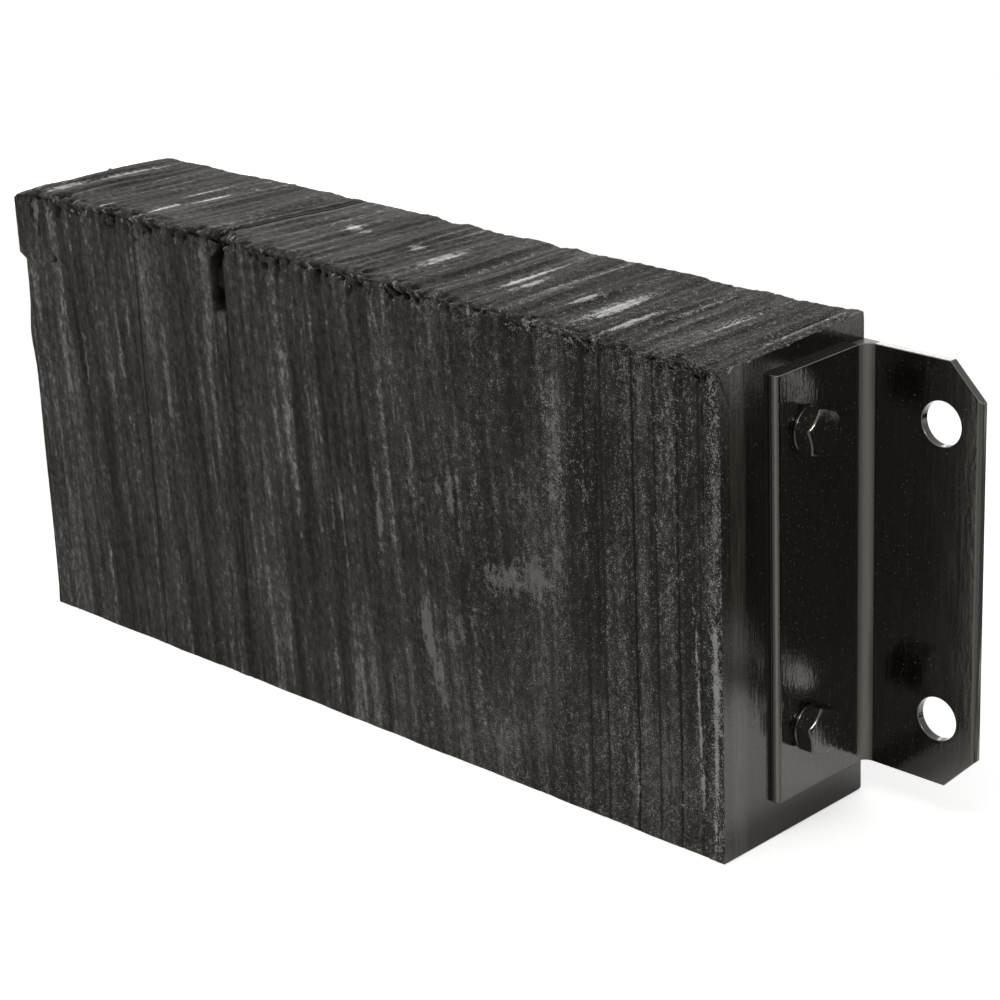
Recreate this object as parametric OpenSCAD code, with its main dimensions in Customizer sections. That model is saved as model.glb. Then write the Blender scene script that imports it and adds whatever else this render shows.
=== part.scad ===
// Laminated loading-dock bumper: rubber pads on edge, drawn together by tie bolts between two steel angles.
// X runs along the stack, Y from the striking face to the wall, Z up. The pads stand on Z = 0.

/* [Rubber pads] */
// Number of pads in the stack
pad_count = 40; // [24:1:54]
// Length of the stack of pads between the two angles
stack_length = 550; // [300:1:900]
// Full height of a pad
pad_height = 267; // [240:1:400]
// Full depth of a pad, from the wall to the striking face
pad_depth = 114; // [95:1:180]
// How far a pad's thickness strays from the mean, as a share of it
thickness_spread = 0.25; // [0:0.05:0.5]
// Most that a pad's top stays below the full height
top_shortfall = 1.4; // [0:0.1:8]
// Most that a pad's front stays behind the striking face
front_shortfall = 0.5; // [0:0.1:4]
// Most that a pad's foot stays above the ground
foot_shortfall = 0.6; // [0:0.1:4]
// Depth of the waves that the cut leaves in a pad's edge
cut_wave = 0.8; // [0:0.1:2]
// Drop of a pad's worn edge from the middle to the sides of its thickness
edge_crown = 1.2; // [0.2:0.1:3]
// Largest chip at a pad's front corners
corner_chip = 2.5; // [0.5:0.5:6]

/* [Torn pad] */
// Pad with the torn-out corner, counted from the left end
torn_pad = 13; // [2:1:53]
// Height of the torn-out corner
torn_height = 40; // [10:1:80]
// Depth of the torn-out corner
torn_depth = 11; // [2:1:25]

/* [Steel angles] */
// Length of an angle, along the pads' height
angle_length = 233; // [200:1:380]
// Height of an angle's lower end above the ground
angle_lift = 21; // [0:1:60]
// Width of the leg that clamps the end of the stack
clamp_leg = 76; // [60:1:95]
// Width of the leg that lies on the wall
wall_leg = 76; // [60:1:150]
// Thickness of both legs
angle_thickness = 4.8; // [3:0.1:10]
// Radius of the inside corner
root_radius = 6; // [2:0.5:10]
// Radius of the rolled edge at the end of each leg
toe_radius = 2.6; // [0.5:0.1:2.9]
// Size of the clipped corners of the wall leg
corner_clip = 19; // [5:1:30]
// Height of the holes' middle above the middle of an angle
hole_rise = 1.5; // [0:0.5:4]

/* [Anchor holes] */
// Diameter of the holes for the wall anchors
anchor_hole_d = 24; // [10:0.5:30]
// Distance between the two anchor holes of one angle
anchor_spacing = 162; // [80:1:170]
// Distance of the anchor holes from the end of the stack
anchor_offset = 52; // [35:1:60]

/* [Tie bolts] */
// Diameter of the tie bolts
bolt_d = 16; // [8:0.5:20]
// Distance between the two tie bolts
bolt_spacing = 163; // [80:1:190]
// Distance of the tie bolts from the wall
bolt_from_wall = 52; // [40:1:60]
// Clearance of the tie bolts in the pads, angles and washers, on the diameter
bolt_clearance = 1; // [0.2:0.1:3]
// Clearance of the thread in the nuts, on the diameter
thread_clearance = 0.2; // [0.1:0.05:0.5]
// Width across the flats of heads and nuts
hex_width = 24; // [22:0.5:32]
// Height of a bolt head
head_height = 10; // [5:0.5:15]
// Height of a nut
nut_height = 13; // [6:0.5:20]
// Diameter of a washer
washer_d = 25; // [22:0.5:40]
// Thickness of a washer
washer_thickness = 2; // [1:0.1:5]
// Length of thread that stands past the nut
thread_past_nut = 8; // [2:0.5:25]
// Bevel at the end of the thread
thread_bevel = 1.5; // [0.5:0.1:3]
// Turn of the upper hex about its bolt, in degrees
upper_hex_turn = -16; // [-30:1:30]
// Turn of the lower hex about its bolt, in degrees
lower_hex_turn = -20; // [-30:1:30]

/* [Hidden] */
// Waves of two lengths run along each cut edge, and the long one has this share of the depth
long_wave = 71;
short_wave = 23;
long_wave_share = 0.6;
// Smallest chip at a pad's corner, as a share of the largest
least_chip = 0.3;
// Place of the ridge along a worn top, as a share of the pad's thickness, and how far it strays
ridge_place = 0.35;
ridge_stray = 0.15;
// Straight pieces that make up a pad's front and top edges
front_pieces = 11;
top_pieces = 7;
// Shares of the torn corner's depth and height at the points of the tear, from its foot to the top
torn_points = [[0, 1], [0.45, 0.9], [0.7, 0.55], [1, 0.35], [0.85, 0]];
// Hex corners are beveled from a circle a little smaller than the width across the flats
bevel_circle = 0.95;
bevel_angle = 30;
// Cutters reach this far past the surfaces that they cut
over = 1;
$fn = 48;

rubber = "#2d2c2a";
black_paint = "#161514";

end_x = stack_length / 2;
wall_y = pad_depth / 2;
front_y = -pad_depth / 2;
leg_x = end_x + angle_thickness;
bolt_y = wall_y - bolt_from_wall;
middle_z = angle_lift + angle_length / 2 + hole_rise;
bolt_z = [middle_z + bolt_spacing / 2, middle_z - bolt_spacing / 2];
bolt_hole_d = bolt_d + bolt_clearance;
hex_turn = [upper_hex_turn, lower_hex_turn];

// Each pad draws its own set of random values from -1 to 1, the same ones at every build
draws_per_pad = 12;
cut_seed = 860;
draws = rands(-1, 1, draws_per_pad * pad_count, cut_seed);
function stray(i, k) = draws[draws_per_pad * i + k];
function short_of(i, k, most) = most * (1 + stray(i, k)) / 2;

// The two end pads are trimmed true; the pads between them stay as they were cut
function is_end(i) = i == 0 || i == pad_count - 1;
function rough(i) = is_end(i) ? 0 : 1;

function total(v, n) = n == 0 ? 0 : v[n - 1] + total(v, n - 1);
pad_share = [for (i = [0 : pad_count - 1]) 1 + thickness_spread * stray(i, 0)];
// Seams between the pads, on whole hundredths of a millimetre so that neighbours meet exactly
pad_edge = [for (i = [0 : pad_count])
    round(100 * (stack_length * total(pad_share, i) / total(pad_share, pad_count) - end_x)) / 100];
function pad_thickness(i) = pad_edge[i + 1] - pad_edge[i];

function pad_top(i) = pad_height - rough(i) * short_of(i, 1, top_shortfall);
function pad_front(i) = front_y + rough(i) * short_of(i, 2, front_shortfall);
function pad_foot(i) = rough(i) * max(0, stray(i, 3)) * foot_shortfall;
function pad_chip(i, k) = corner_chip * (least_chip + (1 - least_chip) * abs(stray(i, k)));
function wave(i, k, s) = rough(i) * cut_wave / 2
    * (1 + long_wave_share * sin(360 * s / long_wave + 180 * stray(i, k))
    + (1 - long_wave_share) * sin(360 * s / short_wave + 180 * stray(i, k + 1)));

function pad_name(i) = str("pad_", i < 9 ? "0" : "", i + 1);
PADS = [for (i = [0 : pad_count - 1]) pad_name(i)];

// Points up the front edge of a pad, from its foot to height z_end
function front_edge(i, z_end) = [
    for (k = [0 : front_pieces])
        let (z = pad_foot(i) + pad_chip(i, 9) + (z_end - pad_foot(i) - pad_chip(i, 9)) * k / front_pieces)
            [pad_front(i) + wave(i, 4, z), z]
];

// Points along the top edge of a pad, from depth y_start to the wall
function top_edge(i, y_start) = [
    for (k = [0 : top_pieces])
        let (y = y_start + (wall_y - y_start) * k / top_pieces)
            [y, pad_top(i) - wave(i, 6, y)]
];

function torn_edge(i) = [
    for (p = torn_points)
        [pad_front(i) + torn_depth * p[0], pad_top(i) - torn_height * p[1]]
];

// Outline of a pad as seen along the stack: foot, front, top and wall side
function pad_outline(i) = let (torn = i == torn_pad - 1) concat(
    [[wall_y, pad_foot(i)], [pad_front(i) + pad_chip(i, 8), pad_foot(i)]],
    front_edge(i, pad_top(i) - (torn ? torn_height + corner_chip : pad_chip(i, 10))),
    torn ? torn_edge(i) : [],
    top_edge(i, pad_front(i) + (torn ? torn_depth : pad_chip(i, 11)))
);

// Section of a pad's worn top, as seen from the front: it falls away to both sides of the thickness
function crown_section(i) = let (t = pad_thickness(i), z = pad_top(i)) [
    [0, -over],
    [0, z - edge_crown * abs(stray(i, 8))],
    [t * (ridge_place + ridge_stray * stray(i, 9)), z],
    [t, z - edge_crown * abs(stray(i, 10))],
    [t, -over]
];

// Extrudes a (Y, Z) drawing along X
module along_x(length) {
    rotate([90, 0, 90])
        linear_extrude(length)
            children();
}

// A cylinder along X
module rod(d, length) {
    rotate([0, 90, 0])
        cylinder(d = d, h = length);
}

// Places a copy on the axis of each tie bolt
module at_bolts() {
    for (z = bolt_z)
        translate([0, bolt_y, z])
            children();
}

module pad_blank(i) {
    intersection() {
        along_x(pad_thickness(i))
            polygon(pad_outline(i));
        if (!is_end(i))
            translate([0, wall_y + over, 0])
                rotate([90, 0, 0])
                    linear_extrude(pad_depth + 2 * over)
                        polygon(crown_section(i));
    }
}

// One rubber pad with its holes for the tie bolts
module pad(i) {
    color(rubber)
        difference() {
            translate([pad_edge[i], 0, 0])
                pad_blank(i);
            at_bolts()
                translate([pad_edge[i] - over, 0, 0])
                    rod(bolt_hole_d, pad_thickness(i) + 2 * over);
        }
}

// Fills or trims a corner: a square of side r less a quarter circle about its corner at (cx, cy)
module corner_web(r, cx, cy) {
    difference() {
        square(r);
        translate([cx * r, cy * r])
            circle(r);
    }
}

// Rolled section of an angle, with the heel at the wall and the end of the stack
module angle_section() {
    difference() {
        union() {
            translate([0, -clamp_leg])
                square([angle_thickness, clamp_leg]);
            translate([0, -angle_thickness])
                square([wall_leg, angle_thickness]);
            translate([angle_thickness, -angle_thickness - root_radius])
                corner_web(root_radius, 1, 0);
        }
        translate([angle_thickness - toe_radius, -clamp_leg])
            corner_web(toe_radius, 0, 1);
        translate([wall_leg - toe_radius, -angle_thickness])
            corner_web(toe_radius, 0, 1);
    }
}

// Corner clip of the wall leg, a prism with its right angle on the leg's corner
module clip_prism() {
    translate([0, over, 0])
        rotate([90, 0, 0])
            linear_extrude(angle_thickness + 2 * over)
                polygon([
                    [over, -over], [over, corner_clip], [0, corner_clip],
                    [-corner_clip, 0], [-corner_clip, -over]
                ]);
}

// The right-hand angle, with its corner clips, anchor holes and bolt holes
module angle() {
    color(black_paint)
        difference() {
            translate([end_x, wall_y, angle_lift])
                linear_extrude(angle_length)
                    angle_section();
            translate([end_x + wall_leg, wall_y, angle_lift])
                clip_prism();
            translate([end_x + wall_leg, wall_y, angle_lift + angle_length])
                mirror([0, 0, 1])
                    clip_prism();
            for (side = [-1, 1])
                translate([end_x + anchor_offset, wall_y + over, middle_z + side * anchor_spacing / 2])
                    rotate([90, 0, 0])
                        cylinder(d = anchor_hole_d, h = angle_thickness + 2 * over);
            at_bolts()
                translate([end_x - over, 0, 0])
                    rod(bolt_hole_d, angle_thickness + 2 * over);
        }
}

module right_angle() {
    angle();
}

module left_angle() {
    mirror([1, 0, 0])
        angle();
}

// Hexagonal prism along X with two flats level
module hex_prism(length) {
    rotate([0, 90, 0])
        rotate(30)
            cylinder(d = hex_width / cos(30), h = length, $fn = 6);
}

// Cone that bevels the corners of a hex at the end x = length
module bevel_cone(length) {
    end_r = bevel_circle * hex_width / 2;
    rotate([0, 90, 0])
        cylinder(r1 = end_r + length / tan(bevel_angle), r2 = end_r, h = length);
}

module tie_bolt(turn) {
    head_x = leg_x + washer_thickness;
    end_of_thread = leg_x + washer_thickness + nut_height + thread_past_nut;
    translate([head_x, 0, 0])
        rotate([turn, 0, 0])
            intersection() {
                hex_prism(head_height);
                bevel_cone(head_height);
            }
    translate([thread_bevel - end_of_thread, 0, 0])
        rod(bolt_d, end_of_thread + head_x - thread_bevel);
    translate([-end_of_thread, 0, 0])
        rotate([0, 90, 0])
            cylinder(d1 = bolt_d - 2 * thread_bevel, d2 = bolt_d, h = thread_bevel);
}

// The two tie bolts, heads to the right
module tie_bolts() {
    color(black_paint)
        for (k = [0, 1])
            translate([0, bolt_y, bolt_z[k]])
                tie_bolt(hex_turn[k]);
}

module washer() {
    difference() {
        rod(washer_d, washer_thickness);
        translate([-over, 0, 0])
            rod(bolt_hole_d, washer_thickness + 2 * over);
    }
}

// The washers under the bolt heads
module head_washers() {
    color(black_paint)
        at_bolts()
            translate([leg_x, 0, 0])
                washer();
}

// The washers under the nuts
module nut_washers() {
    color(black_paint)
        at_bolts()
            translate([-leg_x - washer_thickness, 0, 0])
                washer();
}

module nut() {
    difference() {
        intersection() {
            hex_prism(nut_height);
            bevel_cone(nut_height);
            translate([nut_height, 0, 0])
                mirror([1, 0, 0])
                    bevel_cone(nut_height);
        }
        translate([-over, 0, 0])
            rod(bolt_d + thread_clearance, nut_height + 2 * over);
    }
}

// The nuts on the left-hand ends of the tie bolts
module hex_nuts() {
    color(black_paint)
        for (k = [0, 1])
            translate([-leg_x - washer_thickness - nut_height, bolt_y, bolt_z[k]])
                rotate([hex_turn[1 - k], 0, 0])
                    nut();
}

for (i = [0 : pad_count - 1])
    pad(i);
left_angle();
right_angle();
tie_bolts();
head_washers();
nut_washers();
hex_nuts();
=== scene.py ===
import math
from collections import namedtuple

import bmesh
import bpy
import numpy as np
from mathutils import Matrix, Vector, geometry


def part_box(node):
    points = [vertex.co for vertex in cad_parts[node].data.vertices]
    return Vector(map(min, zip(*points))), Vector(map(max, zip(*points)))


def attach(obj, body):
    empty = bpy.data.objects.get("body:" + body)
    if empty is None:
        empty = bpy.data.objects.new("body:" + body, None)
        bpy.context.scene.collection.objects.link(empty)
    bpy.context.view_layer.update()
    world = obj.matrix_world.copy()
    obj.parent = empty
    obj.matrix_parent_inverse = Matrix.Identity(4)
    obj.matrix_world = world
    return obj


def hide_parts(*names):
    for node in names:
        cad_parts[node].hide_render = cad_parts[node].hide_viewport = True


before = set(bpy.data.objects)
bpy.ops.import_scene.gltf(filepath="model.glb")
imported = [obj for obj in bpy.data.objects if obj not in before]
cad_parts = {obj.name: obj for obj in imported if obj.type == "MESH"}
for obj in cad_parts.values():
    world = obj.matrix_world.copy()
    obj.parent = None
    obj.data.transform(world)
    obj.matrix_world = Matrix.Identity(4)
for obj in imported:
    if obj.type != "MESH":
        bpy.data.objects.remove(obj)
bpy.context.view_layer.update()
MM = 0.001


# Rubber pads. Each is a strip of scrap tyre, black rubber with cords laid up in it, sawn on all
# four edges and threaded on the two tie bolts with its flat side against the next one. The saw
# combs the edges into fine grooves that run on over the seams, and tore the front top corner.
class Shade:
    """A value or colour that changes over a surface, so that a finish is written as a formula."""

    def __init__(self, socket):
        self.socket = socket

    def node(self, kind, settings=None, inputs=None, out=0):
        """The given output of a new node of this kind in the same finish."""
        tree = self.socket.id_data
        made = tree.nodes.new(kind)
        for name, value in (settings or {}).items():
            setattr(made, name, value)
        for name, value in (inputs or {}).items():
            if isinstance(value, Shade):
                tree.links.new(value.socket, made.inputs[name])
            else:
                made.inputs[name].default_value = value
        return Shade(made.outputs[out])

    def maths(self, operation, *values):
        return self.node("ShaderNodeMath", {"operation": operation}, dict(enumerate(values)))

    def __add__(self, other):
        return self.maths("ADD", self, other)

    def __sub__(self, other):
        return self.maths("SUBTRACT", self, other)

    def __rsub__(self, other):
        return self.maths("SUBTRACT", other, self)

    def __mul__(self, other):
        return self.maths("MULTIPLY", self, other)

    __radd__ = __add__
    __rmul__ = __mul__

    def size(self):
        return self.maths("ABSOLUTE", self)

    def most(self, other):
        return self.maths("MAXIMUM", self, other)

    def rise(self, low, high):
        """0 up to low, 1 from high on, and smooth between them."""
        ends = {"Value": self, "From Min": low, "From Max": high}
        return self.node("ShaderNodeMapRange", {"interpolation_type": "SMOOTHSTEP"}, ends)

    def stretch(self, across, along, up):
        """This place, scaled by so many cells to a metre each way."""
        cells = (across, along, up)
        return self.node("ShaderNodeVectorMath", {"operation": "MULTIPLY"}, {0: self, 1: cells})

    def noise(self, detail=2.0, roughness=0.5):
        """Noise at this place, about zero and mostly within a quarter of it."""
        parts = {"Vector": self, "Scale": 1.0, "Detail": detail, "Roughness": roughness}
        return self.node("ShaderNodeTexNoise", None, parts) - 0.5

    def part(self, axis):
        """This place's distance along one axis."""
        return self.node("ShaderNodeSeparateXYZ", None, {"Vector": self}, out=axis)

    def blend(self, low, high):
        """A colour between low and high, by this share."""
        made = self.node("ShaderNodeMix", {"data_type": "RGBA"}, {"Factor": self}).socket.node
        for name, value in (("A", low), ("B", high)):
            socket = next(s for s in made.inputs if s.name == name and s.type == "RGBA")
            if isinstance(value, Shade):
                self.socket.id_data.links.new(value.socket, socket)
            else:
                socket.default_value = (*value, 1)
        return Shade(next(s for s in made.outputs if s.type == "RGBA"))


def finish(name, constants):
    """A new finish: its material, its Principled shader and the place on the surface in metres."""
    material = bpy.data.materials.new(name)
    material.use_nodes = True
    shader = material.node_tree.nodes["Principled BSDF"]
    for socket, value in constants.items():
        shader.inputs[socket].default_value = value
    maker = Shade(shader.inputs["Base Color"])
    place = maker.node("ShaderNodeTexCoord", out="Object")
    return material, shader, place


def feed(shader, **values):
    """Joins shades to the shader's sockets, where Base_Color stands for Base Color."""
    for name, value in values.items():
        socket = shader.inputs[name.replace("_", " ")]
        socket.id_data.links.new(value.socket, socket)


def bump(height, depth):
    """The dents of this height map, of that depth in metres."""
    return height.node("ShaderNodeBump", None, {"Height": height, "Distance": depth, "Strength": 1.0})


def attribute(place, name):
    """What the mesh itself says at this place, such as how scuffed it is."""
    return place.node("ShaderNodeAttribute", {"attribute_name": name}, out="Fac")


SAWN_BLACK = (0.0075, 0.0050, 0.0033)
SAWN_GREY = (0.0580, 0.0530, 0.0465)
WORN_GREY = (0.1450, 0.1370, 0.1260)
# The chalk and fleck greys also paint glints of overspray along the right front edge.
CHALK_AND_GLINT_GREY = (0.1600, 0.1520, 0.1420)
FLECK_AND_GLINT_GREY = (0.2600, 0.2540, 0.2420)
# The light grey of smooth cuts and paint runs is a painted highlight.
CUT_HIGHLIGHT_GREY = (0.2900, 0.2880, 0.2780)
# The saw's streaks lean on the left and stand upright on the right, where they also turn gritty.
SAW_LEAN = 0.07
UPRIGHT = (0.08, 0.19)
GRITTY = (-0.05, 0.20)
# Cells to a metre across the pads, along their depth and up, from wide clouds to fine grit.
CLOUD_CELLS = (12, 12, 12)
BAND_CELLS = (38, 4, 4)
STREAK_CELLS = (175, 7, 7)
HAIR_CELLS = (330, 16, 16)
GRAIN_CELLS = (400, 240, 240)
GRIT_CELLS = (1300, 1200, 1200)

rubber, rubber_shader, place = finish(
    "sawn_tyre_rubber",
    {"IOR": 1.5, "Specular IOR Level": 0.08, "Coat Roughness": 0.16, "Coat IOR": 1.5},
)
tone_and_shade, scuff_and_glints, fray_and_glints, shine = (attribute(place, name) for name in ("tone_and_shade", "scuff_and_glints", "fray_and_glints", "shine"))
x, y, z = (place.part(axis) for axis in "XYZ")
gritty = x.rise(*GRITTY)
leaning = x + SAW_LEAN * z * (1 - x.rise(*UPRIGHT))
combed = place.node("ShaderNodeCombineXYZ", None, {"X": leaning, "Y": y, "Z": z})
streak = (6.2 - 1.5 * gritty) * combed.stretch(*STREAK_CELLS).noise(1, 0.5)
streak = streak + 3.0 * combed.stretch(*HAIR_CELLS).noise(2, 0.6)
grain = 5.0 * combed.stretch(*GRAIN_CELLS).noise(1, 0.6)
grit = (3.5 + 8.0 * gritty) * place.stretch(*GRIT_CELLS).noise(1, 0.6)
patchy = 0.6 + 0.4 * gritty
band = 4.2 * patchy * combed.stretch(*BAND_CELLS).noise(2, 0.5)
cloud = 5.2 * patchy * place.stretch(*CLOUD_CELLS).noise(2, 0.5)
fibres = streak + grain + 0.6 * grit
# The tone attribute also carries painted shade in pits, holes and the cleft.
wear_and_shade = 0.9 * (4 * tone_and_shade + streak + grain + grit + band + cloud)
# Scuffs and fray also carry painted glints of overspray along the right front edge.
chalk_and_glints = (2.8 * scuff_and_glints + 0.75 * fibres).rise(0.75, 2.5)
flecks_and_glints = (2.2 * fray_and_glints + 0.7 * (grit + grain)).rise(1.2, 2.3)
# Smooth cuts and paint runs: real gloss, and a light grey that is a painted highlight.
polished_and_highlit = (2.3 * shine + 0.5 * fibres).rise(0.7, 2.1)
colour = wear_and_shade.rise(-2.4, 1.8).blend(SAWN_BLACK, SAWN_GREY)
colour = wear_and_shade.rise(0.3, 3.0).blend(colour, WORN_GREY)
colour = (0.92 * chalk_and_glints).blend(colour, CHALK_AND_GLINT_GREY)
colour = flecks_and_glints.blend(colour, FLECK_AND_GLINT_GREY)
feed(
    rubber_shader,
    Base_Color=(0.85 * polished_and_highlit).blend(colour, CUT_HIGHLIGHT_GREY),
    Roughness=0.66 - 0.3 * polished_and_highlit,
    Coat_Weight=0.35 * polished_and_highlit,
    Normal=bump(0.06 * (streak + grain) + 0.08 * grit, 1.1 * MM),
)

# From here on the pads' sizes are in millimetres.
PAD_NAMES = sorted(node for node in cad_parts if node.startswith("pad_"))
PAD_BOXES = [[np.array(corner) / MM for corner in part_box(name)] for name in PAD_NAMES]
STACK_LOW = np.min(PAD_BOXES, axis=(0, 1))
STACK_HIGH = np.max(PAD_BOXES, axis=(0, 1))
TALL, DEEP = STACK_HIGH[2] - STACK_LOW[2], STACK_HIGH[1] - STACK_LOW[1]
washer_low, washer_high = (np.array(corner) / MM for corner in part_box("head_washers"))
WASHER_RADIUS = (washer_high[1] - washer_low[1]) / 2
BOLT_Y = (washer_low[1] + washer_high[1]) / 2
BOLT_ZS = (washer_low[2] + WASHER_RADIUS, washer_high[2] - WASHER_RADIUS)
BORE_RADIUS, BORE_SIDES = 8.5, 24
FRONT, TOP, BACK, FOOT = range(4)

# How far apart the points of the sawn edges lie, along each edge and across the pad.
STEP_FRONT, STEP_TOP, STEP_BACK, STEP_FOOT = 1.5, 1.2, 3.0, 2.2
STEP_TORN, TORN_REACH = 0.7, 12.0
ROW_GAP, RIM_ROW, FIRST_ROW = 0.85, 0.3, 0.8
CORNER_REACH, CORNER_ROUND = 4.0, 0.7
# Rings of points inside the outline of a flat side, as shares of it. The bulging left end has more.
PLAIN_RINGS = (0.8,)
END_RINGS = (0.95, 0.9, 0.84, 0.76, 0.66)
CREASE = math.radians(60)

# Each kind of roughness: its seed, and its cells along an edge and across the pads.
GROOVE_GRAIN = (11, 60, 1.4)
RIDGE_GRAIN = (12, 80, 4.2)
SWELL_GRAIN = (13, 45, 17)
CRUMB_GRAIN = (14, 2.2, 1.4)
TEAR_GRAIN = (15, 7, 6)
HOLE_GRAIN = (16, 3.6, 3.6)
STRAND_GRAIN = (17, 3.6, 1.6)
LIP_GRAIN = (18, 14, 9)
WANDER_GRAIN = (19, 50, 40)
CLEFT_GRAIN = (20, 6, 30)
TORN_GRAIN = (21, 90, 16)
CRUMBLE_GRAIN = (22, 1.8, 1.8)
CHIP_GRAIN = (23, 5, 4)
TONE_SEED = 600

# Depths for the front, top, back and foot edge in turn.
GROOVES = np.array([0.14, 0.34, 0.25, 0.25])
RIDGES = np.array([0.07, 0.85, 0.35, 0.50])
SWELLS = np.array([0.30, 0.80, 0.60, 0.30])
CRUMBS = np.array([0.10, 0.24, 0.18, 0.18])
SUNK = np.array([0.10, -1.20, 0.30, -0.30])
# The top is calmer near the wall.
CALM_LEAST, CALM_VARIES, CALM_REACH = 0.4, 0.6, 30.0
# The torn front top corner: how deep it goes, from what height of the roughness each form starts,
# how the tear fades away from the corner, and where it starts beside the left end.
TEARS, PITS, STRANDS, CRUMBLE = 5.5, 8.0, 1.4, 0.8
TEAR_FROM, HOLE_FROM, STRAND_FROM = 0.05, 0.20, 0.02
TORN_FADE, TORN_LEAST, TORN_VARIES, TORN_CONTRAST = 7.5, 0.55, 0.45, 1.2
TORN_START, TORN_RISE = 4.0, 12.0
# Chips along the right end's top edge, the burr at the foot and the lips of the seams.
CHIPS, CHIP_WIDTH, CHIP_FROM = 2.4, 1.6, 0.1
FOOT_BURR, FOOT_REACH = 1.1, 9.0
LIP_WIDTH, LIP_LEAST, LIP_VARIES = 0.45, 0.6, 0.4
# Seams that gape more than the rest, by the number of the pad on their right.
PLAIN_LIP = 0.10
OPEN_LIPS = {1: 0.8, 12: 1.1, 13: 0.8, 34: 0.6, 36: 0.9, 38: 0.6, 39: 0.9}
# Distances along the stack, and how far the front edge of the top lies above the plain solid's there.
EDGE_XS = (-280, -266, -200, -160, -120, -80, -40, 0, 40, 80, 120, 160, 200, 240, 276)
EDGE_LIFTS = (-1.5, 3.0, 3.2, 3.5, 4.6, 3.6, 2.4, 2.8, 2.2, 0.8, 0.2, -1.2, -1.0, -1.8, -4.2)
EDGE_FADE = 14.0
# How far the seams wander sideways, except at the clamped ends.
WANDER, HELD_POWER = 0.8, 8
FLOOR_GAP = 0.05
# How far the top rises over the left part of the stack and at the clamped left end itself.
CROWN, CROWN_X, CROWN_HALF = 1.5, -165.0, 110.0
END_BOW, END_BOW_REACH = 1.6, 16.0
# The cleft beside one seam: its size, shares of its height from the foot up and of its depth there,
# and its ragged wall, as shares of the pad's thickness, with the mouth at the top.
CLEFT_NUMBER, CLEFT_HEIGHT, CLEFT_DEPTH = 12, 40.0, 11.0
CLEFT_HEIGHTS = (0, 0.04, 0.12, 0.25, 0.34, 0.55, 0.66, 0.8, 1)
CLEFT_DEPTHS = (0, 0.55, 0.8, 0.75, 0.35, 0.4, 0.8, 1, 1)
CLEFT_MIDDLE, CLEFT_WIDER, CLEFT_RAGGED, CLEFT_WALL = 0.5, 0.4, 0.14, 1.5
MOUTH_DROP, MOUTH_FADE = 2.0, 10.0
# The left end bulges past the steel angle, which clamps only its rear two thirds, and has a loose flap.
left_low, left_high = (np.array(corner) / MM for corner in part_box("left_angle"))
BULGE, BULGE_Y, BULGE_FADE = 4.4, -22.0, 16.0
SWELL, SWELL_Z, SWELL_HALF = 2.4, 180.0, 14.0
FLAP, FLAP_FOOT, FLAP_FOOT_FADE = 6.2, 228.0, 3.0
FLAP_TOP, FLAP_TOP_FADE, FLAP_TOP_DROP = 265.0, 4.0, 0.7
FLAP_Y, FLAP_FADE = 20.0, 60.0
CLAMP_FADE = 4.5

# Scuffs on the striking face, and along its right edge light specks that are partly painted glints
# of overspray: middle X and Z, half width, half height, strength.
SCUFFS_AND_EDGE_GLINTS = (
    (147, 125, 13, 14, 1.0), (130, 121, 13, 11, 0.95), (115, 117, 8, 11, 0.8), (160, 140, 5, 9, 0.6),
    (60, 76, 6, 12, 0.9), (64, 62, 5, 12, 0.9), (69, 46, 5, 12, 0.8), (73, 34, 4, 8, 0.6),
    (78, 72, 8, 9, 0.6), (88, 80, 6, 9, 0.7), (96, 88, 4, 8, 0.6), (53, 158, 2.5, 10, 0.7),
    (63, 152, 2, 18, 0.6), (74, 160, 3, 9, 0.8), (85, 158, 6, 14, 0.85), (90, 135, 2, 26, 0.75),
    (99, 150, 3, 14, 0.5), (121, 168, 3, 16, 0.55), (138, 172, 5, 12, 0.7), (160, 178, 3, 12, 0.85),
    (163, 205, 3, 14, 0.65), (-11, 118, 2, 26, 0.6), (-3, 134, 3, 16, 0.6), (26, 122, 2.2, 30, 0.75),
    (18, 97, 3, 8, 0.5), (10, 160, 8, 30, 0.35), (-228.5, 168, 2.2, 30, 0.7), (-247, 162, 2, 15, 0.5),
    (-183, 206, 1.6, 14, 0.6), (-175.5, 248, 1.5, 9, 1.0), (-100.5, 204, 1.8, 16, 0.6),
    (-150, 155, 3, 30, 0.5), (-143, 160, 3, 24, 0.45), (-168, 148, 3, 14, 0.5), (-176, 60, 2, 66, 0.6),
    (-101, 120, 2, 30, 0.45), (-214, 106, 4, 20, 0.3), (-263.4, 261, 1.0, 10, 1.0),
    (-134, 265, 2.2, 6, 0.9), (-60, 160, 3, 40, 0.3), (-177, 266, 2, 5, 1.0), (-112, 257.5, 1.8, 4, 1.0),
    # These three, along the right front edge, are partly painted glints of overspray.
    (271, 240, 5, 30, 0.60), (271, 190, 5, 40, 0.62), (271, 145, 5, 25, 0.60),
)
# Dull brownish stretches of the same face.
DULL_PATCHES = (
    (180, 150, 13, 75, 0.15), (20, 50, 40, 34, 0.10), (110, 56, 18, 26, 0.12), (70, 112, 26, 16, 0.10),
    (-265.8, 260, 1.0, 10, 0.9),
)
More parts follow.
